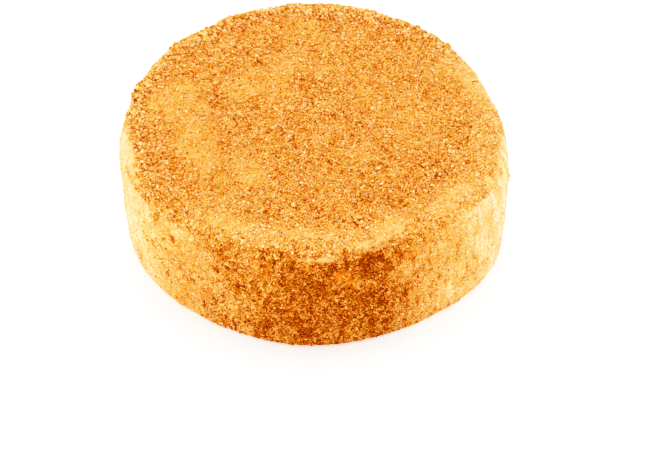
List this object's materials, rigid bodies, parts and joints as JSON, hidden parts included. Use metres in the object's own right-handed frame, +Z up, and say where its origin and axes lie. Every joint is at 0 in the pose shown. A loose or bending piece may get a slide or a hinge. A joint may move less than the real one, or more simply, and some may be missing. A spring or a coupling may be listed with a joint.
{
  "type": "honey cake",
  "caption": "Whole round uncut honey cake with a soft rounded top edge and an uneven coat of cake crumbs on its top and wall.",
  "frame": {"origin": "middle of the cake's outline, on the surface that it stands on", "axes": "+Z up through the top of the cake, -Y towards the side that the cake is shown from, +X to the right of that view"},
  "size_m": [0.2364, 0.2508, 0.0735],
  "materials": {
    "crumb_coat": "dry golden to toasted brown sponge crumbs pressed over cream, matte, coarser along the back of the rim"
  },
  "bodies": {
    "root": {"honey_cake": "crumb_coat"}
  },
  "joints": []
}
